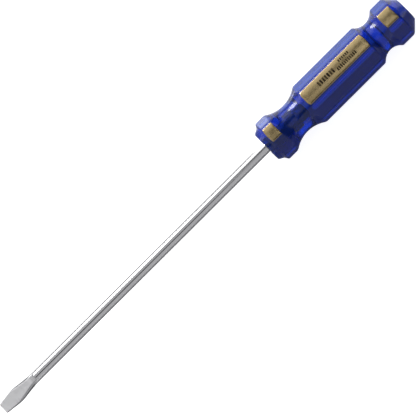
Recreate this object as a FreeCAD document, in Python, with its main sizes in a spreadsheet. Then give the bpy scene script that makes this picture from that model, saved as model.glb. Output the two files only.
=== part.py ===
import FreeCAD, Part
import math
import os

from FreeCAD import Vector
from Sketcher import Constraint

# Slotted screwdriver with a flared (keystone) tip, lying on one flat of its handle.
# While it is drawn, the tool axis is X, the front face of the handle is at x = 0, the blade
# runs to -X and the butt of the handle to +X. The foiled flat of the handle faces +Z.
SIZES = {
    # blade, from a round bar
    "blade_reach": 200.0,  # handle front to the end of the tip
    "shank_radius": 3.0,
    "tang_length": 31.0,  # the part buried in the handle
    "tang_chamfer": 0.8,
    # two fins pinched out of the tang, which stop the blade turning in the handle
    "fin_start": 14.0,
    "fin_peak_start": 16.5,
    "fin_peak_end": 23.0,
    "fin_end": 25.5,
    "fin_half_span": 4.3,
    "fin_thickness": 1.6,
    "pinch_half_gap": 2.1,  # from the axis to the bottom of each pinch mark
    "pinch_clear": 3.5,
    # forged end: distances back from the end of the tip, then half sizes across it
    "forge_setback": 24.0,
    "neck_setback": 17.0,
    "flare_setback": 11.0,
    "forge_half_thickness": 2.79,
    "neck_half_thickness": 1.8,
    "flare_half_thickness": 1.38,
    "end_half_thickness": 1.1,
    "neck_side_centre": 1.75,
    "neck_side_radius": 1.9,
    "flare_side_centre": 2.95,
    "flare_side_radius": 1.48,
    "end_side_centre": 3.7,
    "end_side_radius": 1.2,
    # ground faces and trimmed sides of the tip
    "tip_half_width": 3.08,
    "flare_half_width": 4.3,
    "tip_half_thickness": 0.5,
    "grind_half_thickness": 2.05,  # height of the ground face at grind_setback
    "grind_setback": 20.5,
    "trim_clear": 8.0,
    # handle, from octagonal bar
    "handle_length": 105.7,
    "flat_apothem": 12.5,  # half of the size across flats
    "corner_radius": 3.5,
    "turning_clear": 16.0,  # past the corners of the bar
    "boss_front_radius": 8.9,
    "boss_edge_length": 0.8,
    "boss_edge_radius": 9.7,
    "boss_length": 2.9,
    "boss_radius": 10.8,
    "step_end": 4.4,
    "step_radius": 13.2,
    "front_waist_at": 21.9,
    "front_waist_radius": 9.65,
    "front_waist_arc": 17.9,
    "rear_waist_at": 84.5,
    "rear_waist_radius": 9.92,
    "rear_waist_arc": 8.4,
    "butt_face_radius": 7.3,
    "butt_slope_start": 97.0,  # where the 45 degree slope meets turning_clear
    # foil stamped on the top flat
    "foil_thickness": 0.2,
    "foil_half_width": 4.5,
    "collar_foil_start": 3.9,
    "collar_foil_end": 10.9,
    "grip_foil_start": 32.0,
    "grip_foil_end": 78.3,
    "butt_foil_start": 90.8,
    "butt_foil_end": 99.5,
}
BAR_SIDES = 8
HALF_SIDE_ANGLE = 180.0 / BAR_SIDES
NEAR = 0.01

doc = FreeCAD.newDocument("screwdriver")
sheet = doc.addObject("Spreadsheet::Sheet", "Sizes")
for row, (alias, value) in enumerate(SIZES.items(), 1):
    sheet.set(f"A{row}", alias)
    sheet.set(f"B{row}", str(value))
    sheet.setAlias(f"B{row}", alias)
doc.recompute()


def number(formula):
    # The value of a sum such as '- blade_reach + flare_setback'
    total, sign = 0.0, 1
    for word in formula.split():
        if word in ("+", "-"):
            sign = 1 if word == "+" else -1
        else:
            total += sign * SIZES[word]
    return total


def expression(formula):
    # The same sum, read from the sheet
    words = formula.split()
    return " ".join(word if word in ("+", "-") else f"Sizes.{word}" for word in words)


def origin_plane(body, role):
    return [part for part in body.Origin.OriginFeatures if part.Role == role][0]


def new_body(name):
    body = doc.addObject("PartDesign::Body", name)
    body.Label = name
    return body


def new_sketch(body, name, role):
    sketch = body.newObject("Sketcher::SketchObject", name)
    sketch.AttachmentSupport = [(origin_plane(body, role), "")]
    sketch.MapMode = "FlatFace"
    doc.recompute()
    return sketch


def bind(sketch, kind, references, formula):
    # Adds a dimension to a sketch and ties it to the sheet
    index = sketch.addConstraint(Constraint(kind, *references, number(formula)))
    sketch.setExpression(f"Constraints[{index}]", expression(formula))


def pin(sketch, edge, end, across, up):
    # Fixes a point of an edge at two sums, where an empty one means on the axis
    for kind, axis, formula in (("DistanceX", -2, across), ("DistanceY", -1, up)):
        if formula:
            bind(sketch, kind, (-1, 1, edge, end), formula)
        else:
            sketch.addConstraint(Constraint("PointOnObject", edge, end, axis))


def polygon(sketch, corners):
    # A closed outline of straight edges, with every corner pinned
    places = [Vector(number(x), number(y), 0) for x, y in corners]
    for start, end in zip(places, places[1:] + places[:1]):
        sketch.addGeometry(Part.LineSegment(start, end), False)
    for edge, (x, y) in enumerate(corners):
        sketch.addConstraint(Constraint("Coincident", edge - 1 if edge else len(corners) - 1, 2, edge, 1))
        pin(sketch, edge, 1, x, y)


def revolve_away(body, name, sketch):
    # Turns material off all round the tool axis
    groove = body.newObject("PartDesign::Groove", name)
    groove.Profile = sketch
    groove.ReferenceAxis = (sketch, ["H_Axis"])
    groove.Angle = 360
    doc.recompute()
    return groove


def turn_profile(body, name, corners):
    sketch = new_sketch(body, f"{name}_outline", "XZ_Plane")
    polygon(sketch, corners)
    return revolve_away(body, name, sketch)


def turn_waist(body, name, which):
    # A waist is one round arc, whose ends stand clear of the bar's corners
    sketch = new_sketch(body, f"{name}_outline", "XZ_Plane")
    lowest, arc, at = f"{which}_radius", f"{which}_arc", f"{which}_at"
    top, radius = SIZES["turning_clear"], SIZES[arc]
    centre = Vector(SIZES[at], SIZES[lowest] + radius, 0)
    half = math.sqrt(radius**2 - (centre.y - top) ** 2)
    start, end = math.atan2(top - centre.y, -half), math.atan2(top - centre.y, half)
    circle = Part.Circle(centre, Vector(0, 0, 1), radius)
    sketch.addGeometry(Part.ArcOfCircle(circle, start, end), False)
    sketch.addGeometry(
        Part.LineSegment(Vector(centre.x + half, top, 0), Vector(centre.x - half, top, 0)), False
    )
    sketch.addConstraint(Constraint("Coincident", 0, 2, 1, 1))
    sketch.addConstraint(Constraint("Coincident", 1, 2, 0, 1))
    pin(sketch, 0, 3, at, f"{lowest} + {arc}")
    bind(sketch, "Radius", (0,), arc)
    bind(sketch, "DistanceY", (-1, 1, 1, 1), "turning_clear")
    sketch.addConstraint(Constraint("Horizontal", 1))
    return revolve_away(body, name, sketch)


def cross_section(body, name, setback, centre, radius, half_thickness):
    # Two flats joined by round sides, square to the tool axis. No centre means a round bar
    sketch = new_sketch(body, name, "YZ_Plane")
    sketch.setExpression(
        "AttachmentOffset.Base.z", expression(f"- blade_reach + {setback}" if setback else "- blade_reach")
    )
    middle, round_radius, high = number(centre), SIZES[radius], SIZES[half_thickness]
    turn = math.asin(high / round_radius)
    flat = middle + round_radius * math.cos(turn)
    up = Vector(0, 0, 1)
    right = Part.Circle(Vector(middle, 0, 0), up, round_radius)
    left = Part.Circle(Vector(-middle, 0, 0), up, round_radius)
    sketch.addGeometry(Part.ArcOfCircle(right, -turn, turn), False)
    sketch.addGeometry(Part.LineSegment(Vector(flat, high, 0), Vector(-flat, high, 0)), False)
    sketch.addGeometry(Part.ArcOfCircle(left, math.pi - turn, math.pi + turn), False)
    sketch.addGeometry(Part.LineSegment(Vector(-flat, -high, 0), Vector(flat, -high, 0)), False)
    for edge in range(4):
        sketch.addConstraint(Constraint("Coincident", edge, 2, (edge + 1) % 4, 1))
    for edge, side in ((0, ""), (2, "- ")):
        pin(sketch, edge, 3, side + centre if centre else "", "")
        bind(sketch, "Radius", (edge,), radius)
    for edge, side in ((1, ""), (3, "- ")):
        sketch.addConstraint(Constraint("Horizontal", edge))
        bind(sketch, "DistanceY", (-1, 1, edge, 1), side + half_thickness)
    return sketch


def cut_both_sides(body, name, role, corners):
    # Pockets an outline right through, and its mirror image across the tool axis
    sketch = new_sketch(body, f"{name}_outline", role)
    polygon(sketch, corners)
    pocket = body.newObject("PartDesign::Pocket", name)
    pocket.Profile = sketch
    pocket.Type = "ThroughAll"
    pocket.Midplane = True
    doc.recompute()
    other = body.newObject("PartDesign::Mirrored", f"{name}_mirror")
    other.Originals = [pocket]
    mirror_role = "XY_Plane" if role == "XZ_Plane" else "XZ_Plane"
    other.MirrorPlane = (origin_plane(body, mirror_role), [""])
    body.Tip = other
    doc.recompute()


def make_blade():
    blade = new_body("blade")
    # round bar, from the forged end to the buried end of the tang
    round_outline = new_sketch(blade, "bar_outline", "YZ_Plane")
    round_outline.setExpression("AttachmentOffset.Base.z", expression("- blade_reach + forge_setback"))
    round_outline.addGeometry(Part.Circle(Vector(0, 0, 0), Vector(0, 0, 1), SIZES["shank_radius"]), False)
    pin(round_outline, 0, 3, "", "")
    bind(round_outline, "Radius", (0,), "shank_radius")
    bar = blade.newObject("PartDesign::Pad", "bar")
    bar.Profile = round_outline
    bar.setExpression("Length", expression("blade_reach - forge_setback + tang_length"))
    doc.recompute()
    # the end is forged flat, spreading as it thins
    sections = [
        cross_section(blade, "forge_section", "forge_setback", "", "shank_radius", "forge_half_thickness"),
        cross_section(
            blade,
            "neck_section",
            "neck_setback",
            "neck_side_centre",
            "neck_side_radius",
            "neck_half_thickness",
        ),
        cross_section(
            blade,
            "flare_section",
            "flare_setback",
            "flare_side_centre",
            "flare_side_radius",
            "flare_half_thickness",
        ),
        cross_section(blade, "end_section", "", "end_side_centre", "end_side_radius", "end_half_thickness"),
    ]
    doc.recompute()
    forging = blade.newObject("PartDesign::AdditiveLoft", "forging")
    forging.Profile = sections[0]
    forging.Sections = sections[1:]
    forging.Ruled = False
    doc.recompute()
    # faces ground to a wedge, then sides trimmed from the flare to the tip
    cut_both_sides(
        blade,
        "ground_face",
        "XZ_Plane",
        [
            ("- blade_reach", "tip_half_thickness"),
            ("- blade_reach + grind_setback", "grind_half_thickness"),
            ("- blade_reach + grind_setback", "trim_clear"),
            ("- blade_reach", "trim_clear"),
        ],
    )
    cut_both_sides(
        blade,
        "trimmed_side",
        "XY_Plane",
        [
            ("- blade_reach", "tip_half_width"),
            ("- blade_reach + flare_setback", "flare_half_width"),
            ("- blade_reach + flare_setback", "trim_clear"),
            ("- blade_reach", "trim_clear"),
        ],
    )
    # two fins pinched out of the tang
    fins_outline = new_sketch(blade, "fins_outline", "XY_Plane")
    polygon(
        fins_outline,
        [
            ("fin_start", ""),
            ("fin_peak_start", "fin_half_span"),
            ("fin_peak_end", "fin_half_span"),
            ("fin_end", ""),
            ("fin_peak_end", "- fin_half_span"),
            ("fin_peak_start", "- fin_half_span"),
        ],
    )
    fins = blade.newObject("PartDesign::Pad", "fins")
    fins.Profile = fins_outline
    fins.Midplane = True
    fins.setExpression("Length", "Sizes.fin_thickness")
    doc.recompute()
    cut_both_sides(
        blade,
        "pinch_mark",
        "XZ_Plane",
        [
            ("fin_start", "shank_radius"),
            ("fin_peak_start", "pinch_half_gap"),
            ("fin_peak_end", "pinch_half_gap"),
            ("fin_end", "shank_radius"),
            ("fin_end", "pinch_clear"),
            ("fin_start", "pinch_clear"),
        ],
    )
    # the buried end is chamfered, to start the press fit
    pinched = blade.Tip
    buried = [
        f"Edge{index}"
        for index, edge in enumerate(pinched.Shape.Edges, 1)
        if min(vertex.X for vertex in edge.Vertexes) > SIZES["tang_length"] - NEAR
    ]
    chamfer = blade.newObject("PartDesign::Chamfer", "tang_lead")
    chamfer.Base = (pinched, buried)
    chamfer.setExpression("Size", "Sizes.tang_chamfer")
    doc.recompute()
    return blade


def make_turned_bar(name, growth):
    # octagonal bar with rounded corners, turned to a round boss, two waists and a sloped butt
    bar = new_body(name)
    apothem, corner_radius = f"flat_apothem{growth}", f"corner_radius{growth}"
    outline = new_sketch(bar, f"{name}_octagon", "YZ_Plane")
    reach = number(apothem) / math.cos(math.radians(HALF_SIDE_ANGLE))
    turns = [math.radians(HALF_SIDE_ANGLE * (2 * side + 1)) for side in range(BAR_SIDES)]
    corners = [Vector(reach * math.cos(turn), reach * math.sin(turn), 0) for turn in turns]
    for start, end in zip(corners, corners[1:] + corners[:1]):
        outline.addGeometry(Part.LineSegment(start, end), False)
    ring = outline.addGeometry(Part.Circle(Vector(0, 0, 0), Vector(0, 0, 1), reach), True)
    outline.addConstraint(Constraint("Coincident", ring, 3, -1, 1))
    for side in range(BAR_SIDES):
        outline.addConstraint(Constraint("Coincident", side, 2, (side + 1) % BAR_SIDES, 1))
        outline.addConstraint(Constraint("PointOnObject", side, 1, ring))
    for side in range(1, BAR_SIDES):
        outline.addConstraint(Constraint("Equal", 0, side))
    top_side = BAR_SIDES // 4 - 1
    outline.addConstraint(Constraint("Horizontal", top_side))
    bind(outline, "DistanceY", (-1, 1, top_side, 1), apothem)
    pad = bar.newObject("PartDesign::Pad", f"{name}_stock")
    pad.Profile = outline
    pad.setExpression("Length", "Sizes.handle_length")
    doc.recompute()
    lengthwise = [
        f"Edge{index}"
        for index, edge in enumerate(pad.Shape.Edges, 1)
        if abs(edge.Vertexes[0].X - edge.Vertexes[-1].X) > NEAR
    ]
    rounding = bar.newObject("PartDesign::Fillet", f"{name}_corners")
    rounding.Base = (pad, lengthwise)
    rounding.setExpression("Radius", expression(corner_radius))
    doc.recompute()
    turn_profile(
        bar,
        f"{name}_boss",
        [
            ("", "boss_front_radius"),
            ("boss_edge_length", "boss_edge_radius"),
            ("boss_length", "boss_radius"),
            ("step_end", "step_radius"),
            ("step_end", "turning_clear"),
            ("", "turning_clear"),
        ],
    )
    turn_waist(bar, f"{name}_front_waist", "front_waist")
    turn_waist(bar, f"{name}_rear_waist", "rear_waist")
    turn_profile(
        bar,
        f"{name}_butt_slope",
        [
            ("handle_length", "butt_face_radius"),
            ("handle_length", "turning_clear"),
            ("butt_slope_start", "turning_clear"),
        ],
    )
    return bar


def place(thing, start="", side="", height="flat_apothem"):
    # the handle's lower flat stands on z = 0 and the origin is under the middle of the length
    along = "(Sizes.blade_reach - Sizes.handle_length) / 2"
    thing.setExpression("Placement.Base.x", f"{along} + {expression(start)}" if start else along)
    thing.setExpression("Placement.Base.z", expression(height))
    if side:
        thing.setExpression("Placement.Base.y", expression(side))


def join(kind, name, base, tool):
    result = doc.addObject(kind, name)
    result.Label = name
    result.Base = base
    result.Tool = tool
    return result


def make_foil(name):
    # a window through the outer skin of a slightly larger bar leaves a film on the handle's flat
    window = doc.addObject("Part::Box", f"{name}_window")
    window.setExpression("Length", f"Sizes.{name}_end - Sizes.{name}_start")
    window.setExpression("Width", "2 * Sizes.foil_half_width")
    window.setExpression("Height", "Sizes.flat_apothem")
    place(window, f"{name}_start", "- foil_half_width", "flat_apothem + corner_radius")
    patch = join("Part::Common", f"{name}_patch", film_bar, window)
    return join("Part::Cut", name, patch, handle_bar)


def check_steps(body):
    # a cut that points the wrong way removes nothing, and shows no error
    before = 0.0
    for feature in body.Group:
        if feature.isDerivedFrom("PartDesign::Feature"):
            after = feature.Shape.Volume
            adds = feature.TypeId in ("PartDesign::Pad", "PartDesign::AdditiveLoft")
            if (after > before) != adds:
                raise RuntimeError(f"{feature.Name} went from {before:.1f} to {after:.1f} mm3")
            before = after


blade = make_blade()
handle_bar = make_turned_bar("handle_bar", "")
film_bar = make_turned_bar("film_bar", " + foil_thickness")
for body in (blade, handle_bar, film_bar):
    place(body)
doc.recompute()

# the handle is moulded round the tang and its fins
handle = join("Part::Cut", "handle", handle_bar, blade)
sub_parts = [blade, handle] + [make_foil(name) for name in ("collar_foil", "grip_foil", "butt_foil")]
doc.recompute()

for thing in doc.Objects:
    if "Invalid" in thing.State or "Error" in thing.State:
        raise RuntimeError(f"{thing.Name} is {thing.State}")
for body in (blade, handle_bar, film_bar):
    check_steps(body)
os.makedirs("parts", exist_ok=True)
for thing in sub_parts:
    shape = thing.Shape
    if shape.isNull() or not shape.isValid() or len(shape.Solids) != 1:
        raise RuntimeError(f"{thing.Label} is not one valid solid")
for thing in sub_parts:
    thing.Shape.exportStep(f"parts/{thing.Label}.step")
    print(f"{thing.Label}: {thing.Shape.Volume:.1f} mm3")
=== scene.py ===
import math

import bpy
import numpy as np
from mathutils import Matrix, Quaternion, Vector


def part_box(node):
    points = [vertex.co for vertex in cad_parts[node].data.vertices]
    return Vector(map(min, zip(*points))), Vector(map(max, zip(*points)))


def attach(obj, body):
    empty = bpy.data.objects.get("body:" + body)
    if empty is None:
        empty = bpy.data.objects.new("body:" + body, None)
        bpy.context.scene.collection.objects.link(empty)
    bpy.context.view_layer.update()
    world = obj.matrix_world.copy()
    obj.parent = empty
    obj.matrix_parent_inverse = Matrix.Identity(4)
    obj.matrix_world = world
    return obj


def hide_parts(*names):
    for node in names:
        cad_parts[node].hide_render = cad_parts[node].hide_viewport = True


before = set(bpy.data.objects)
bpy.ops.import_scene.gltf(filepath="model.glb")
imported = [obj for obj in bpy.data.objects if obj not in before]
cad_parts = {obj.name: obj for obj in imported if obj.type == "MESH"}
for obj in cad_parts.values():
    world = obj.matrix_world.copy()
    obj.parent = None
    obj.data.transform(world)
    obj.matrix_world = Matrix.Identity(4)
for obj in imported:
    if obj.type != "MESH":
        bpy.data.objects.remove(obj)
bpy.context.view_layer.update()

mm = 0.001
bladeLow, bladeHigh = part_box("blade")
handleLow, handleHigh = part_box("handle")
tipEnd, tangEnd = bladeLow.x, bladeHigh.x
handleFront, buttEnd = handleLow.x, handleHigh.x
axisHeight = (handleLow.z + handleHigh.z) / 2
print("frame loaded")


def toLinear(hexCode):
    parts = [int(hexCode[i : i + 2], 16) / 255 for i in (1, 3, 5)]
    return tuple(c / 12.92 if c <= 0.04045 else ((c + 0.055) / 1.055) ** 2.4 for c in parts) + (1.0,)


def addNode(tree, kind, settings=None, links=None):
    node = tree.nodes.new(kind)
    for key, value in (settings or {}).items():
        if isinstance(key, int) or key in node.inputs:
            node.inputs[key].default_value = value
        else:
            setattr(node, key, value)
    for key, socket in (links or {}).items():
        tree.links.new(socket, node.inputs[key])
    return node


def newMaterial(name):
    material = bpy.data.materials.new(name)
    material.use_nodes = True
    tree = material.node_tree
    return material, tree, tree.nodes["Principled BSDF"]


def smoothMin(a, b, blend):
    near = np.maximum(blend - np.abs(a - b), 0) / blend
    return np.minimum(a, b) - near * near * blend / 4


def smoothMax(a, b, blend):
    return -smoothMin(-np.asarray(a), -np.asarray(b), blend)


def skinRings(name, rings):
    # a closed skin over rings of points, where a ring of one point closes an end
    points, faces, starts = [], [], []
    for ring in rings:
        starts.append(len(points))
        points.extend(map(tuple, ring))
    for near, far in zip(range(len(rings) - 1), range(1, len(rings))):
        a, b, count = starts[near], starts[far], max(len(rings[near]), len(rings[far]))
        for i in range(count):
            j = (i + 1) % count
            if len(rings[near]) == 1:
                faces.append((a, b + j, b + i))
            elif len(rings[far]) == 1:
                faces.append((a + i, a + j, b))
            else:
                faces.append((a + i, a + j, b + j, b + i))
    mesh = bpy.data.meshes.new(name)
    mesh.from_pydata(points, [], faces)
    mesh.polygons.foreach_set("use_smooth", [True] * len(faces))
    mesh.update()
    piece = bpy.data.objects.new(name, mesh)
    bpy.context.scene.collection.objects.link(piece)
    return piece


# ---- handle
handleSizes = {  # mm, lengthwise from the front face
    "cornerRadius": 3.5,
    "bossFace": 8.9,
    "bossEdge": (0.8, 9.7),
    "bossEnd": (2.9, 10.8),
    "stepEnd": (4.4, 13.2),
    "frontWaist": (21.9, 9.65, 17.9),  # where, lowest radius, radius of its arc
    "rearWaist": (84.5, 9.92, 8.4),
    "buttFace": 7.3,
    "shankHole": 3.05,
    "mouth": ((0.45, 0), (0.08, 0.38), (0, 0.6)),  # rings round it: depth, how much wider than the hole
    "faceRings": (0.6685, 0.972),  # shares of bossFace, out to just short of the rounded edge
    "buttRings": ((0.03, 1), (0, 0.959), (0, 0.5), (0, 0.1667)),  # distance from the end, share of buttFace
    "firstRow": 0.06,
    "edgeSoftness": 0.75,  # how far polishing has rounded the turned edges
    "columns": 256,
    "edgeRow": 0.13,
    "waistRow": 0.35,
    "gripRow": 0.7,
}
apothem = (handleHigh.y - handleLow.y) / 2 / mm
handleLength = (buttEnd - handleFront) / mm
noLimit = 40.0


def barRadius(theta):
    # octagon with rounded corners, its flats square to 0, 45, 90 ... degrees
    corner = handleSizes["cornerRadius"]
    phi = np.abs((theta + math.pi / 8) % (math.pi / 4) - math.pi / 8)
    reach = (apothem - corner) / math.cos(math.pi / 8)
    off = math.pi / 8 - phi
    rounded = reach * np.cos(off) + np.sqrt(np.maximum(corner**2 - (reach * np.sin(off)) ** 2, 0))
    flatEnd = math.atan((apothem - corner) * math.tan(math.pi / 8) / apothem)
    return np.where(phi < flatEnd, apothem / np.cos(phi), rounded)


def turnedRadius(x):
    # what the turning tool leaves at this place, whatever the bar's section
    edgeX, edgeR = handleSizes["bossEdge"]
    bossX, bossR = handleSizes["bossEnd"]
    stepX, stepR = handleSizes["stepEnd"]
    radius = min(noLimit, handleSizes["buttFace"] + handleLength - x)
    if x < edgeX:
        along = x / edgeX
        radius = handleSizes["bossFace"] + (edgeR - handleSizes["bossFace"]) * math.sin(along * math.pi / 2)
    elif x < bossX:
        radius = edgeR + (bossR - edgeR) * (x - edgeX) / (bossX - edgeX)
    elif x < stepX + 2:
        radius = bossR + (stepR - bossR) * (x - bossX) / (stepX - bossX)
    for at, lowest, arc in (handleSizes["frontWaist"], handleSizes["rearWaist"]):
        if abs(x - at) < arc:
            radius = min(radius, lowest + arc - math.sqrt(arc**2 - (x - at) ** 2))
    return radius


def handleRadius(x, theta):
    return smoothMin(barRadius(theta), turnedRadius(x), handleSizes["edgeSoftness"])


def ringAt(x, radius, theta):
    # theta 0 is +Y and 90 degrees is +Z
    y = radius * np.cos(theta) * mm
    z = radius * np.sin(theta) * mm + axisHeight
    return np.stack([np.full_like(y, handleFront + x * mm), y, z], axis=1)


def rowStep(x):
    turned, corner = turnedRadius(x), apothem + 1.0
    if apothem - 0.9 < turned < corner + 0.9 or x < 3.2:
        return handleSizes["edgeRow"]
    return handleSizes["waistRow"] if turned < apothem else handleSizes["gripRow"]


def makeHandle():
    theta = np.linspace(0, 2 * math.pi, handleSizes["columns"], endpoint=False)
    rings = []
    mouth = [(depth, handleSizes["shankHole"] + wider) for depth, wider in handleSizes["mouth"]]
    rings.append(np.array([[handleFront + mouth[0][0] * mm, 0, axisHeight]]))
    for x, r in mouth + [(0, handleSizes["bossFace"] * share) for share in handleSizes["faceRings"]]:
        rings.append(ringAt(x, np.full_like(theta, r), theta))
    x = handleSizes["firstRow"]
    while x < handleLength - 0.05:
        rings.append(ringAt(x, handleRadius(x, theta), theta))
        x += rowStep(x)
    for inset, share in handleSizes["buttRings"]:
        radius = np.full_like(theta, handleSizes["buttFace"] * share)
        rings.append(ringAt(handleLength - inset, radius, theta))
    rings.append(np.array([[buttEnd, 0, axisHeight]]))
    return skinRings("acetateHandle", rings)


# ---- blade
bladeSizes = {  # mm, lengthwise from the end of the tip
    "shankRadius": (bladeHigh.z - bladeLow.z) / 2 / mm,
    "forgeEnd": 24.0,
    # along the forged end: distance, centre and radius of the round sides, half thickness
    "forging": ((0, 3.7, 1.2, 1.1), (11, 2.95, 1.48, 1.38), (17, 1.75, 1.9, 1.8), (24, 0, 3.0, 2.79)),
    "tipHalfThickness": 0.5,
    "grindSlope": (2.05 - 0.5) / 20.5,
    "tipHalfWidth": 3.08,
    "flare": (11.0, 4.3),
    "edgeSoftness": 0.16,
    "points": 144,
    "fins": (14.0, 16.5, 23.0, 25.5),  # from the handle's front: start, full height, end
    "finSpan": 4.3,
    "finHalf": 0.8,
    "pinch": 2.1,
    "tangChamfer": 0.8,
    "firstRow": 0.12,
    "forgedRow": 0.16,
    "shankRows": 60,
    "tangRows": 56,
    "tipRings": ((0.2, 0.172), (0.6, 0.516), (0.9755, 0.86)),  # shares of the first section: across, up
    "backShare": 0.5,  # of the last section, at the tang's end face
}
forgingCurves = [
    np.polyfit([row[0] for row in bladeSizes["forging"]], [row[i] for row in bladeSizes["forging"]], 3)
    for i in (1, 2, 3)
]


def forgedSection(d, across, up):
    # radius of the flattened bar in a direction, before grinding
    centre, side, thick = (float(np.polyval(curve, d)) for curve in forgingCurves)
    flatTop = side / np.maximum(up, 1e-6)
    roundSide = across * centre + np.sqrt(np.maximum(side**2 - (centre * up) ** 2, 0))
    radius = np.where(flatTop * across <= centre, flatTop, roundSide)
    return smoothMin(radius, thick / np.maximum(up, 1e-6), 0.1)


def bladeRing(d):
    shank, soft = bladeSizes["shankRadius"], bladeSizes["edgeSoftness"]
    turn = np.linspace(0, 2 * math.pi, bladeSizes["points"], endpoint=False)
    flareAt, flareHalf = bladeSizes["flare"]
    forged = d < bladeSizes["forgeEnd"]
    grind = bladeSizes["tipHalfThickness"] + bladeSizes["grindSlope"] * d
    trim = bladeSizes["tipHalfWidth"] + (flareHalf - bladeSizes["tipHalfWidth"]) * d / flareAt
    wide = min(trim, flareHalf) if forged else shank
    high = min(grind, shank)
    y, z = np.cos(turn) * wide, np.sin(turn) * high
    length = np.hypot(y, z)
    across, up = np.abs(y) / length, np.abs(z) / length
    if forged:
        radius = forgedSection(d, across, up)
        radius = smoothMin(radius, grind / np.maximum(up, 1e-6), soft)
        radius = smoothMin(radius, trim / np.maximum(across, 1e-6), soft)
    else:
        radius = np.full_like(turn, shank)
        radius = tangSection(d, across, up, radius)
    sideways = y / length * radius * mm
    height = z / length * radius * mm + axisHeight
    return np.stack([np.full_like(turn, tipEnd + d * mm), sideways, height], axis=1)


def tangSection(d, across, up, radius):
    inside = d - (handleFront - tipEnd) / mm
    start, full, taper, end = bladeSizes["fins"]
    if start < inside < end:
        rise = min(1, (inside - start) / (full - start), (end - inside) / (end - taper))
        span, half = bladeSizes["finSpan"] * rise, bladeSizes["finHalf"]
        dent = bladeSizes["shankRadius"] - (bladeSizes["shankRadius"] - bladeSizes["pinch"]) * rise
        radius = smoothMin(radius, dent / np.maximum(up, 1e-6), 0.3)
        fin = smoothMin(span / np.maximum(across, 1e-6), half / np.maximum(up, 1e-6), 0.3)
        radius = smoothMax(radius, fin, 0.3)
    left = (tangEnd - tipEnd) / mm - d
    return radius - max(0, bladeSizes["tangChamfer"] - left)


def makeBlade():
    whole = (tangEnd - tipEnd) / mm
    fins = [bladeSizes["fins"][0], bladeSizes["fins"][3]]
    toHandle = (handleFront - tipEnd) / mm
    stations = np.concatenate(
        [
            np.arange(bladeSizes["firstRow"], bladeSizes["forgeEnd"] - 0.05, bladeSizes["forgedRow"]),
            [bladeSizes["forgeEnd"] - 0.02, bladeSizes["forgeEnd"] + 0.05],  # either side of the seam
            np.linspace(bladeSizes["forgeEnd"] + 1, toHandle + fins[0], bladeSizes["shankRows"]),
            np.linspace(toHandle + fins[0] + 0.2, toHandle + fins[1], bladeSizes["tangRows"]),
            [whole - bladeSizes["tangChamfer"], whole],
        ]
    )
    rings = [bladeRing(d) for d in stations]
    lead = [np.array([[tipEnd, 0, axisHeight]])]
    for acrossShare, upShare in bladeSizes["tipRings"]:
        ring = rings[0].copy()
        ring[:, 0] = tipEnd
        ring[:, 1] *= acrossShare
        ring[:, 2] = axisHeight + (ring[:, 2] - axisHeight) * upShare
        lead.append(ring)
    back = rings[-1].copy()
    back[:, 1:] = (back[:, 1:] - [0, axisHeight]) * bladeSizes["backShare"] + [0, axisHeight]
    return skinRings("platedBlade", lead + rings + [back, np.array([[tangEnd, 0, axisHeight]])])


# ---- gold foil
foilSizes = {  # mm
    "lift": 0.19,
    "crown": 0.15,  # how much lower the film lies at its edges than down its middle
    "endDrop": 1.6,  # over which it drops at its short ends
    "buried": 0.05,
    "halfWidth": 4.5,
    "edge": 0.18,  # over which the film thins out
    "across": 48,
    "alongStep": 0.35,
}


def foilEnds(name, theta):
    # where the film starts and stops along each line, kept off the turned surfaces
    low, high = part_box(name)
    start, stop = (low.x - handleFront) / mm, (high.x - handleFront) / mm
    reach = float(barRadius(np.array([theta]))[0]) + 0.02
    bossX, bossR = handleSizes["bossEnd"]
    stepX, stepR = handleSizes["stepEnd"]
    start = max(start, bossX + (reach - bossR) * (stepX - bossX) / (stepR - bossR))
    for at, lowest, arc in (handleSizes["frontWaist"], handleSizes["rearWaist"]):
        half = math.sqrt(arc**2 - (lowest + arc - reach) ** 2)
        if start < at + half and stop > at + half:
            start = max(start, at + half)
        if stop > at - half and start < at - half:
            stop = min(stop, at - half)
    return start, stop


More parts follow.
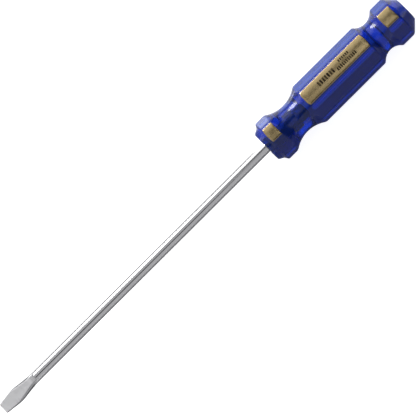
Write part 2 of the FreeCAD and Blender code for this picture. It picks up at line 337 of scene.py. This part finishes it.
def makeFoil(name):
    across, corner = foilSizes["across"], handleSizes["cornerRadius"]
    flat = (apothem - corner) * math.tan(math.pi / 8)
    sideTurn = math.asin((foilSizes["halfWidth"] - flat) / corner)
    arcHalf = flat + corner * sideTurn
    low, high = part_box(name)
    rows = max(12, int((high.x - low.x) / mm / foilSizes["alongStep"]))
    shares = (1 - np.cos(np.linspace(0, math.pi, across))) / 2
    along = (1 - np.cos(np.linspace(0, math.pi, rows))) / 2 * 0.5 + np.linspace(0, 0.5, rows)
    top, under = [], []
    for share in shares:
        u = (share * 2 - 1) * arcHalf
        turn = max(0, abs(u) - flat) / corner
        y = math.copysign(min(abs(u), flat) + corner * math.sin(turn), u)
        z = apothem - corner + corner * math.cos(turn)
        theta = math.atan2(z, y)
        start, stop = foilEnds(name, theta)
        sideGap = arcHalf - abs(u)
        topLine, underLine = [], []
        for w in along:
            x = start + (stop - start) * w
            endGap = min(x - start, stop - x)
            gap = min(sideGap, endGap)
            lower = foilSizes["crown"] * (u / arcHalf) ** 2
            lower = max(lower, foilSizes["crown"] * max(0, 1 - endGap / foilSizes["endDrop"]) ** 2)
            rise = math.sin(min(1, gap / foilSizes["edge"]) * math.pi / 2)
            base = float(handleRadius(x, np.array([theta]))[0])
            for line, offset in (
                (topLine, rise * (foilSizes["lift"] - lower + 0.02) - 0.02),
                (underLine, -foilSizes["buried"]),
            ):
                r = (base + offset) * mm
                line.append((handleFront + x * mm, r * math.cos(theta), r * math.sin(theta) + axisHeight))
        top.append(topLine)
        under.append(underLine)
    points = [p for line in top for p in line] + [p for line in under for p in line]
    count, faces = across * rows, []
    for i in range(across - 1):
        for j in range(rows - 1):
            a = i * rows + j
            faces.append((a, a + 1, a + rows + 1, a + rows))
            faces.append((count + a, count + a + rows, count + a + rows + 1, count + a + 1))
    for i in range(across - 1):
        for j in (0, rows - 1):
            a, b = i * rows + j, (i + 1) * rows + j
            faces.append((a, b, count + b, count + a) if j == 0 else (b, a, count + a, count + b))
    for j in range(rows - 1):
        for i in (0, across - 1):
            a, b = i * rows + j, i * rows + j + 1
            faces.append((b, a, count + a, count + b) if i == 0 else (a, b, count + b, count + a))
    mesh = bpy.data.meshes.new(name + "Film")
    mesh.from_pydata(points, [], faces)
    mesh.polygons.foreach_set("use_smooth", [True] * len(faces))
    mesh.update()
    piece = bpy.data.objects.new(name + "Film", mesh)
    bpy.context.scene.collection.objects.link(piece)
    return piece


# ---- materials
acetateLook = {
    "dye": (0.016, 0.11, 0.66, 1),
    "ior": 1.48,
    "clear": 0.94,  # share of the light that passes
    "litSideClear": (0.68, 0.78),  # the same, on the facet turned to the key light, made milky so it reads lit: a painted lit side
    "litSideFacing": (0, 0.766, 0.643),  # that facet faces this way
    "litSideEdge": (0.965, 0.99),
    "litSideHazeSize": 6 * mm,
    "waveSize": 9 * mm,
    "scuffSize": 1.2 * mm,
    "roughness": (0.12, 0.17),
    "waveStrength": 0.015,
    "waveHeight": 0.15 * mm,
    "depthTint": (0.05, 0.3, 0.79, 1),
    "depthDensity": 115.0,
}


def makeAcetate():
    # dyed cellulose acetate, turned and polished: clear and deep blue, with the facet turned to the key light
    # made milky, a painted lit side
    look = acetateLook
    material, tree, shader = newMaterial("polishedCelluloseAcetate")
    place = addNode(tree, "ShaderNodeTexCoord").outputs["Object"]
    normal = addNode(tree, "ShaderNodeNewGeometry").outputs["Normal"]
    # the facet turned to the key light goes milky so it reads brighter: painted light on the lit side
    facing = addNode(
        tree, "ShaderNodeVectorMath", {"operation": "DOT_PRODUCT", 1: look["litSideFacing"]}, {0: normal}
    )
    litSideMask = addNode(
        tree, "ShaderNodeMapRange", {"From Min": look["litSideEdge"][0], "From Max": look["litSideEdge"][1]},
        {"Value": facing.outputs["Value"]},
    )
    litSideNoise = addNode(
        tree, "ShaderNodeTexNoise", {"Scale": 1 / look["litSideHazeSize"], "Detail": 3.0}, {"Vector": place}
    )
    clarity = addNode(
        tree, "ShaderNodeMapRange",
        {"From Min": 0.3, "From Max": 0.7, "To Min": look["litSideClear"][0], "To Max": look["litSideClear"][1]},
        {"Value": litSideNoise.outputs["Fac"]},
    )
    passes = addNode(
        tree, "ShaderNodeMix", {"data_type": "FLOAT", 2: look["clear"]},
        {"Factor": litSideMask.outputs[0], 3: clarity.outputs[0]},
    )
    # low waves from polishing, and finer scuffs from use
    waves = addNode(
        tree, "ShaderNodeTexNoise", {"Scale": 1 / look["waveSize"], "Detail": 2.0}, {"Vector": place}
    )
    scuffs = addNode(
        tree, "ShaderNodeTexNoise", {"Scale": 1 / look["scuffSize"], "Detail": 4.0}, {"Vector": place}
    )
    gloss = addNode(
        tree, "ShaderNodeMapRange",
        {"From Min": 0.35, "From Max": 0.8, "To Min": look["roughness"][0], "To Max": look["roughness"][1]},
        {"Value": scuffs.outputs["Fac"]},
    )
    bump = addNode(
        tree, "ShaderNodeBump", {"Strength": look["waveStrength"], "Distance": look["waveHeight"]},
        {"Height": waves.outputs["Fac"]},
    )
    shader.inputs["Base Color"].default_value = look["dye"]
    shader.inputs["IOR"].default_value = look["ior"]
    tree.links.new(passes.outputs[0], shader.inputs["Transmission Weight"])
    tree.links.new(gloss.outputs["Result"], shader.inputs["Roughness"])
    tree.links.new(bump.outputs["Normal"], shader.inputs["Normal"])
    depth = addNode(
        tree, "ShaderNodeVolumeAbsorption", {"Color": look["depthTint"], "Density": look["depthDensity"]}
    )
    tree.links.new(depth.outputs["Volume"], tree.nodes["Material Output"].inputs["Volume"])
    return material


steelLook = {
    "plate": "#d8d8d9",
    "groundFace": "#c2c2c3",
    # painted shade: the ground tip's shoulders are given this darker tone
    "shadedShoulderTone": "#7a7a7c",
    "buriedBar": "#8a8a8c",
    "plateRoughness": (0.09, 0.18),
    "groundRoughness": (0.32, 0.42),
    "shoulderRoughness": 0.75,
    "buriedRoughness": 0.55,
    "groundTo": (20.5 * mm, 25.5 * mm),  # from the end of the tip, where the grinding fades out
    "buriedFrom": (1 * mm, 4 * mm),  # from the front of the handle
    "groundAndLitFacing": (0, -0.342, 0.94),  # tilted, so the lighter face tone reaches further down one shoulder; the shoulders outside it get painted shade
    "groundAndLitEdge": (0.8, 0.93),
    "markSize": (0.35 * mm, 6 * mm, 6 * mm),  # grinding marks run across the tip
    "grainSize": (25 * mm, 0.5 * mm, 0.5 * mm),  # drawing lines run along the bar
    "markStrength": 0.3,
    "markDepth": 0.02 * mm,
}


def makePlatedSteel():
    # nickel-chrome plate on drawn bar, bright as a mirror, and a satin tip left by the grinding wheel, with
    # painted shade on the tip's shoulders
    look = steelLook
    material, tree, shader = newMaterial("nickelChromePlatedSteel")
    place = addNode(tree, "ShaderNodeTexCoord").outputs["Object"]
    parts = addNode(tree, "ShaderNodeSeparateXYZ", links={"Vector": place})
    groundStart, groundStop = (tipEnd + distance for distance in look["groundTo"])
    ground = addNode(
        tree, "ShaderNodeMapRange",
        {"From Min": groundStart, "From Max": groundStop, "To Min": 1.0, "To Max": 0.0},
        {"Value": parts.outputs["X"]},
    )
    lines = addNode(
        tree, "ShaderNodeMapping", {"Scale": tuple(1 / size for size in look["markSize"])}, {"Vector": place}
    )
    grinding = addNode(
        tree, "ShaderNodeTexNoise", {"Scale": 1.0, "Detail": 3.0}, {"Vector": lines.outputs["Vector"]}
    )
    drawn = addNode(
        tree, "ShaderNodeMapping", {"Scale": tuple(1 / size for size in look["grainSize"])}, {"Vector": place}
    )
    polish = addNode(
        tree, "ShaderNodeTexNoise", {"Scale": 1.0, "Detail": 3.0}, {"Vector": drawn.outputs["Vector"]}
    )
    low, high = look["plateRoughness"]
    bright = addNode(
        tree, "ShaderNodeMapRange", {"From Min": 0.3, "From Max": 0.75, "To Min": low, "To Max": high},
        {"Value": polish.outputs["Fac"]},
    )
    low, high = look["groundRoughness"]
    satin = addNode(
        tree, "ShaderNodeMapRange", {"From Min": 0.3, "From Max": 0.7, "To Min": low, "To Max": high},
        {"Value": grinding.outputs["Fac"]},
    )
    # faces met by the wheel are smoother than the shoulders beside them; the shoulders' darker tone is
    # painted shade
    normal = addNode(tree, "ShaderNodeNewGeometry").outputs["Normal"]
    facing = addNode(
        tree, "ShaderNodeVectorMath", {"operation": "DOT_PRODUCT", 1: look["groundAndLitFacing"]}, {0: normal}
    )
    upright = addNode(tree, "ShaderNodeMath", {"operation": "ABSOLUTE"}, {0: facing.outputs["Value"]})
    flats = addNode(
        tree, "ShaderNodeMapRange", {"From Min": look["groundAndLitEdge"][0], "From Max": look["groundAndLitEdge"][1]},
        {"Value": upright.outputs[0]},
    )
    matt = addNode(
        tree, "ShaderNodeMix", {"data_type": "FLOAT", 2: look["shoulderRoughness"]},
        {"Factor": flats.outputs[0], 3: satin.outputs[0]},
    )
    rough = addNode(
        tree, "ShaderNodeMix", {"data_type": "FLOAT"},
        {"Factor": ground.outputs["Result"], 2: bright.outputs["Result"], 3: matt.outputs[0]},
    )
    # painted shade: the shoulders take the darker tone, the faces the lighter one
    tipTone = addNode(
        tree, "ShaderNodeMix",
        {"data_type": "RGBA", 6: toLinear(look["shadedShoulderTone"]), 7: toLinear(look["groundFace"])},
        {"Factor": flats.outputs["Result"]},
    )
    tint = addNode(
        tree, "ShaderNodeMix", {"data_type": "RGBA", 6: toLinear(look["plate"])},
        {"Factor": ground.outputs["Result"], 7: tipTone.outputs[2]},
    )
    buriedStart, buriedStop = (handleFront + distance for distance in look["buriedFrom"])
    buried = addNode(
        tree, "ShaderNodeMapRange", {"From Min": buriedStart, "From Max": buriedStop},
        {"Value": parts.outputs["X"]},
    )
    duller = addNode(
        tree, "ShaderNodeMix", {"data_type": "FLOAT", 3: look["buriedRoughness"]},
        {"Factor": buried.outputs[0], 2: rough.outputs[0]},
    )
    darker = addNode(
        tree, "ShaderNodeMix", {"data_type": "RGBA", 7: toLinear(look["buriedBar"])},
        {"Factor": buried.outputs[0], 6: tint.outputs[2]},
    )
    height = addNode(
        tree, "ShaderNodeMath", {"operation": "MULTIPLY"},
        {0: grinding.outputs["Fac"], 1: ground.outputs["Result"]},
    )
    bump = addNode(
        tree, "ShaderNodeBump", {"Strength": look["markStrength"], "Distance": look["markDepth"]},
        {"Height": height.outputs["Value"]},
    )
    shader.inputs["Metallic"].default_value = 1.0
    tree.links.new(darker.outputs[2], shader.inputs["Base Color"])
    tree.links.new(duller.outputs[0], shader.inputs["Roughness"])
    tree.links.new(bump.outputs["Normal"], shader.inputs["Normal"])
    return material


foilLook = {
    "tones": ("#b09b70", "#bda97f"),
    "roughness": (0.14, 0.20),
    "blotchSize": 2 * mm,
    "creaseSize": (0.8 * mm, 3 * mm, 3 * mm),
    "creaseStrength": 0.08,
    "creaseDepth": 0.02 * mm,
    # plain blocks in place of lettering, mm: (from, to) lengthwise, (from, to) across, pitch
    "rows": [
        ((43.0, 55.2), (-1.0, 1.9), 1.75),
        ((59.5, 67.3), (1.2, 2.9), 1.3),
        ((56.2, 70.5), (-2.1, 0.1), 1.3),
    ],
    "filled": 0.72,  # share of the pitch that is printed
    "ink": "#1f1912",
    "inkRoughness": 0.5,
    "inkEdge": 0.12 * mm,
}


def betweenMask(tree, value, low, high):
    edge = foilLook["inkEdge"]
    rise = addNode(
        tree, "ShaderNodeMapRange", {"From Min": low - edge, "From Max": low + edge}, {"Value": value}
    )
    fall = addNode(
        tree, "ShaderNodeMapRange", {"From Min": high + edge, "From Max": high - edge}, {"Value": value}
    )
    both = addNode(
        tree, "ShaderNodeMath", {"operation": "MULTIPLY"}, {0: rise.outputs[0], 1: fall.outputs[0]}
    )
    return both.outputs[0]


def makeGoldFoil():
    # hot-stamped brass-toned foil: satin, with faint creases from the stamping roll
    look = foilLook
    material, tree, shader = newMaterial("hotStampedGoldFoil")
    place = addNode(tree, "ShaderNodeTexCoord").outputs["Object"]
    parts = addNode(tree, "ShaderNodeSeparateXYZ", links={"Vector": place})
    blotches = addNode(
        tree, "ShaderNodeTexNoise", {"Scale": 1 / look["blotchSize"], "Detail": 4.0}, {"Vector": place}
    )
    tone = addNode(tree, "ShaderNodeValToRGB", links={"Fac": blotches.outputs["Fac"]})
    for element, position, hexCode in zip(tone.color_ramp.elements, (0.3, 0.7), look["tones"]):
        element.position = position
        element.color = toLinear(hexCode)
    inked = None
    for (x0, x1), (y0, y1), pitch in look["rows"]:
        rowStart = handleFront + x0 * mm
        row = addNode(tree, "ShaderNodeMath", {"operation": "MULTIPLY"}, {
            0: betweenMask(tree, parts.outputs["X"], rowStart, handleFront + x1 * mm),
            1: betweenMask(tree, parts.outputs["Y"], y0 * mm, y1 * mm),
        })
        shifted = addNode(
            tree, "ShaderNodeMath", {"operation": "SUBTRACT", 1: rowStart}, {0: parts.outputs["X"]}
        )
        within = addNode(
            tree, "ShaderNodeMath", {"operation": "MODULO", 1: pitch * mm}, {0: shifted.outputs[0]}
        )
        block = betweenMask(tree, within.outputs[0], 0, look["filled"] * pitch * mm)
        marks = addNode(tree, "ShaderNodeMath", {"operation": "MULTIPLY"}, {0: row.outputs[0], 1: block})
        inked = marks if inked is None else addNode(
            tree, "ShaderNodeMath", {"operation": "MAXIMUM"}, {0: inked.outputs[0], 1: marks.outputs[0]}
        )
    # the ink has rubbed thin in the blotches
    worn = addNode(
        tree, "ShaderNodeMapRange", {"From Min": 0.3, "From Max": 0.6, "To Min": 0.85, "To Max": 1.0},
        {"Value": blotches.outputs["Fac"]},
    )
    ink = addNode(
        tree, "ShaderNodeMath", {"operation": "MULTIPLY"}, {0: inked.outputs[0], 1: worn.outputs[0]}
    )
    colour = addNode(
        tree, "ShaderNodeMix", {"data_type": "RGBA", 7: toLinear(look["ink"])},
        {"Factor": ink.outputs[0], 6: tone.outputs["Color"]},
    )
    low, high = look["roughness"]
    rough = addNode(
        tree, "ShaderNodeMapRange", {"From Min": 0.3, "From Max": 0.7, "To Min": low, "To Max": high},
        {"Value": blotches.outputs["Fac"]},
    )
    rougher = addNode(
        tree, "ShaderNodeMix", {"data_type": "FLOAT", 3: look["inkRoughness"]},
        {"Factor": ink.outputs[0], 2: rough.outputs[0]},
    )
    creases = addNode(
        tree, "ShaderNodeMapping", {"Scale": tuple(1 / size for size in look["creaseSize"])},
        {"Vector": place},
    )
    crease = addNode(
        tree, "ShaderNodeTexNoise", {"Scale": 1.0, "Detail": 3.0}, {"Vector": creases.outputs["Vector"]}
    )
    bump = addNode(
        tree, "ShaderNodeBump", {"Strength": look["creaseStrength"], "Distance": look["creaseDepth"]},
        {"Height": crease.outputs["Fac"]},
    )
    shader.inputs["Metallic"].default_value = 1.0
    tree.links.new(colour.outputs[2], shader.inputs["Base Color"])
    tree.links.new(rougher.outputs[0], shader.inputs["Roughness"])
    tree.links.new(bump.outputs["Normal"], shader.inputs["Normal"])
    return material


acetate, platedSteel, goldFoil = makeAcetate(), makePlatedSteel(), makeGoldFoil()
for piece, node, slot, material in [
    (makeHandle(), "handle", "clear_acetate", acetate),
    (makeBlade(), "blade", "plated_steel", platedSteel),
] + [(makeFoil(name), name, "gold_foil", goldFoil) for name in ("collar_foil", "grip_foil", "butt_foil")]:
    piece.data.materials.append(material)
    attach(piece, "root")
    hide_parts(node)
    print("made", piece.name, len(piece.data.polygons), "faces")

# ---- stage
studio = {
    "floorTone": "#b3b3b3",
    "floorGlow": 0.86,
    "floorHalf": 6.0,
    "paperRoughness": 0.9,
    "worldTone": "#c0c0c2",
    # angles in degrees from straight up, towards the viewer's lower right when positive
    "key": {
        "angle": -55, "lean": -14, "distance": 2.0, "across": 0.75, "along": 1.4, "radiance": 13.0,
        "shape": "ELLIPSE",
    },
    "soft": {"angle": -55, "lean": 0, "distance": 4.0, "across": 2.8, "along": 9.0, "radiance": 1.4},
    # a narrow strip over the handle, seen as a line in the foil
    "strip": {
        "angle": -12.5, "lean": 12, "distance": 0.75, "across": 0.035, "along": 0.32, "radiance": 1.2,
    },
    # overhead cards: (from, to) in degrees, (from, to) along X in metres, tone, glow
    "flags": [
        ((14, 32), (-3.0, 0.03), "#202022", 0.0),
        ((-20, -14.5), (0.03, 0.8), "#202022", 0.0),
        ((-10.5, 8), (0.03, 0.8), "#202022", 0.0),
        ((-37, -20), (0.03, 0.8), "#303030", 1.1),
    ],
    "flagHeight": 0.7,
    "buttWall": (0.5, 0.7, 0.5, "#202022"),  # card beyond the butt: distance, half width, height, tone
    # sheets on the floor that the camera doesn't see: those without glow are painted shade of the floor, seen
    # in reflections and through the plastic, the glowing ones painted light: (from, to) along X, (from, to)
    # along Y in metres, tone, glow, seen through plastic
    "papers": [
        ((-0.132, 0.3), (-0.3, 0.0), "#8c8c8e", 0.0, False),
        ((-0.6, 0.04), (0.004, 1.5), "#a6a6a6", 0.0, False),
        ((0.045, 0.062), (0.03, 0.4), "#ffffff", 2.0, False),
        ((0.04, 0.2), (-0.3, 0.3), "#d9d9d9", 0.0, True),
        ((0.04, 0.2), (0.0035, 0.0075), "#ffffff", 0.3, True),
        ((0.04, 0.2), (0.0075, 0.3), "#8c8c8c", 0.0, True),
    ],
}


def makeSheet(name, corners, tone, glow=0.0, **seen):
    mesh = bpy.data.meshes.new(name)
    mesh.from_pydata(corners, [], [(0, 1, 2, 3)])
    sheet = bpy.data.objects.new(name, mesh)
    bpy.context.scene.collection.objects.link(sheet)
    material, _, shader = newMaterial(name + "Paper")
    shader.inputs["Base Color"].default_value = toLinear(tone)
    shader.inputs["Roughness"].default_value = studio["paperRoughness"]
    shader.inputs["Emission Color"].default_value = (1, 1, 1, 1)
    shader.inputs["Emission Strength"].default_value = glow
    mesh.materials.append(material)
    for key, value in seen.items():
        setattr(sheet, key, value)


def towards(angle, lean=0.0):
    a, b = math.radians(angle), math.radians(lean)
    return Vector((math.sin(b), -math.sin(a) * math.cos(b), math.cos(a) * math.cos(b)))


def makePanel(name, angle, lean, distance, across, along, radiance, shape="RECTANGLE"):
    light = bpy.data.lights.new(name, "AREA")
    light.shape, light.size, light.size_y = shape, along, across
    area = along * across * (math.pi / 4 if shape == "ELLIPSE" else 1)
    light.energy = radiance * math.pi * area
    lamp = bpy.data.objects.new(name, light)
    away = towards(angle, lean)
    lamp.location = away * distance
    lamp.rotation_mode = "QUATERNION"
    lamp.rotation_quaternion = away.to_track_quat("Z", "Y")
    bpy.context.scene.collection.objects.link(lamp)


half = studio["floorHalf"]
floorCorners = [(-half, -half, 0), (half, -half, 0), (half, half, 0), (-half, half, 0)]
makeSheet("floor", floorCorners, studio["floorTone"], studio["floorGlow"])
for i, ((x0, x1), (y0, y1), tone, glow, through) in enumerate(studio["papers"]):
    lift = (0.1 + 0.02 * i) * mm  # each sheet lies just over the one before
    corners = [(x, y, lift) for x, y in ((x0, y0), (x1, y0), (x1, y1), (x0, y1))]
    makeSheet("paper%d" % i, corners, tone, glow, visible_camera=False, visible_diffuse=False,
              visible_glossy=not through, visible_transmission=through, visible_shadow=False)
for i, (angles, span, tone, glow) in enumerate(studio["flags"]):
    nearY, farY = (-math.tan(math.radians(angle)) * studio["flagHeight"] for angle in angles)
    corners = [(span[0], nearY), (span[1], nearY), (span[1], farY), (span[0], farY)]
    makeSheet("lensFlag%d" % i, [(x, y, studio["flagHeight"]) for x, y in corners], tone, glow,
              visible_camera=False, visible_shadow=False, visible_diffuse=False)
wallAt, wallHalf, wallTop, wallTone = studio["buttWall"]
wallOutline = [(-wallHalf, 0), (wallHalf, 0), (wallHalf, wallTop), (-wallHalf, wallTop)]
corners = [(wallAt, y, z) for y, z in wallOutline]
makeSheet("buttWall", corners, wallTone, visible_camera=False, visible_shadow=False, visible_diffuse=False)
for name in ("key", "soft", "strip"):
    makePanel(name, **studio[name])
world = bpy.data.worlds.new("studioRoom")
bpy.context.scene.world = world
world.use_nodes = True
world.node_tree.nodes["Background"].inputs["Color"].default_value = toLinear(studio["worldTone"])
bpy.context.scene.view_settings.view_transform = "Standard"

# ---- camera
lens = {
    "focal": 400.0,
    "azimuth": 0.0,
    "elevation": 73.0,
    "roll": 44.87,  # the tool points to the upper right
    "metresAcross": 0.2243,
    "aim": (1.89 * mm, 1.31 * mm),  # right and up of the middle of the tool
}


def makeCamera():
    data = bpy.data.cameras.new("camera")
    data.lens, data.sensor_width = lens["focal"], 36.0
    camera = bpy.data.objects.new("camera", data)
    a, e = math.radians(lens["azimuth"]), math.radians(lens["elevation"])
    away = Vector((math.sin(a) * math.cos(e), -math.cos(a) * math.cos(e), math.sin(e)))
    turn = (-away).to_track_quat("-Z", "Y") @ Quaternion((0, 0, 1), -math.radians(lens["roll"]))
    right, up = turn @ Vector((1, 0, 0)), turn @ Vector((0, 1, 0))
    middle = Vector(((tipEnd + buttEnd) / 2, 0, axisHeight))
    target = middle + right * lens["aim"][0] + up * lens["aim"][1]
    camera.location = target + away * (lens["metresAcross"] * lens["focal"] / data.sensor_width)
    camera.rotation_mode = "QUATERNION"
    camera.rotation_quaternion = turn
    data.clip_end = 50
    bpy.context.scene.collection.objects.link(camera)
    bpy.context.scene.camera = camera


makeCamera()
print("stage and camera set")
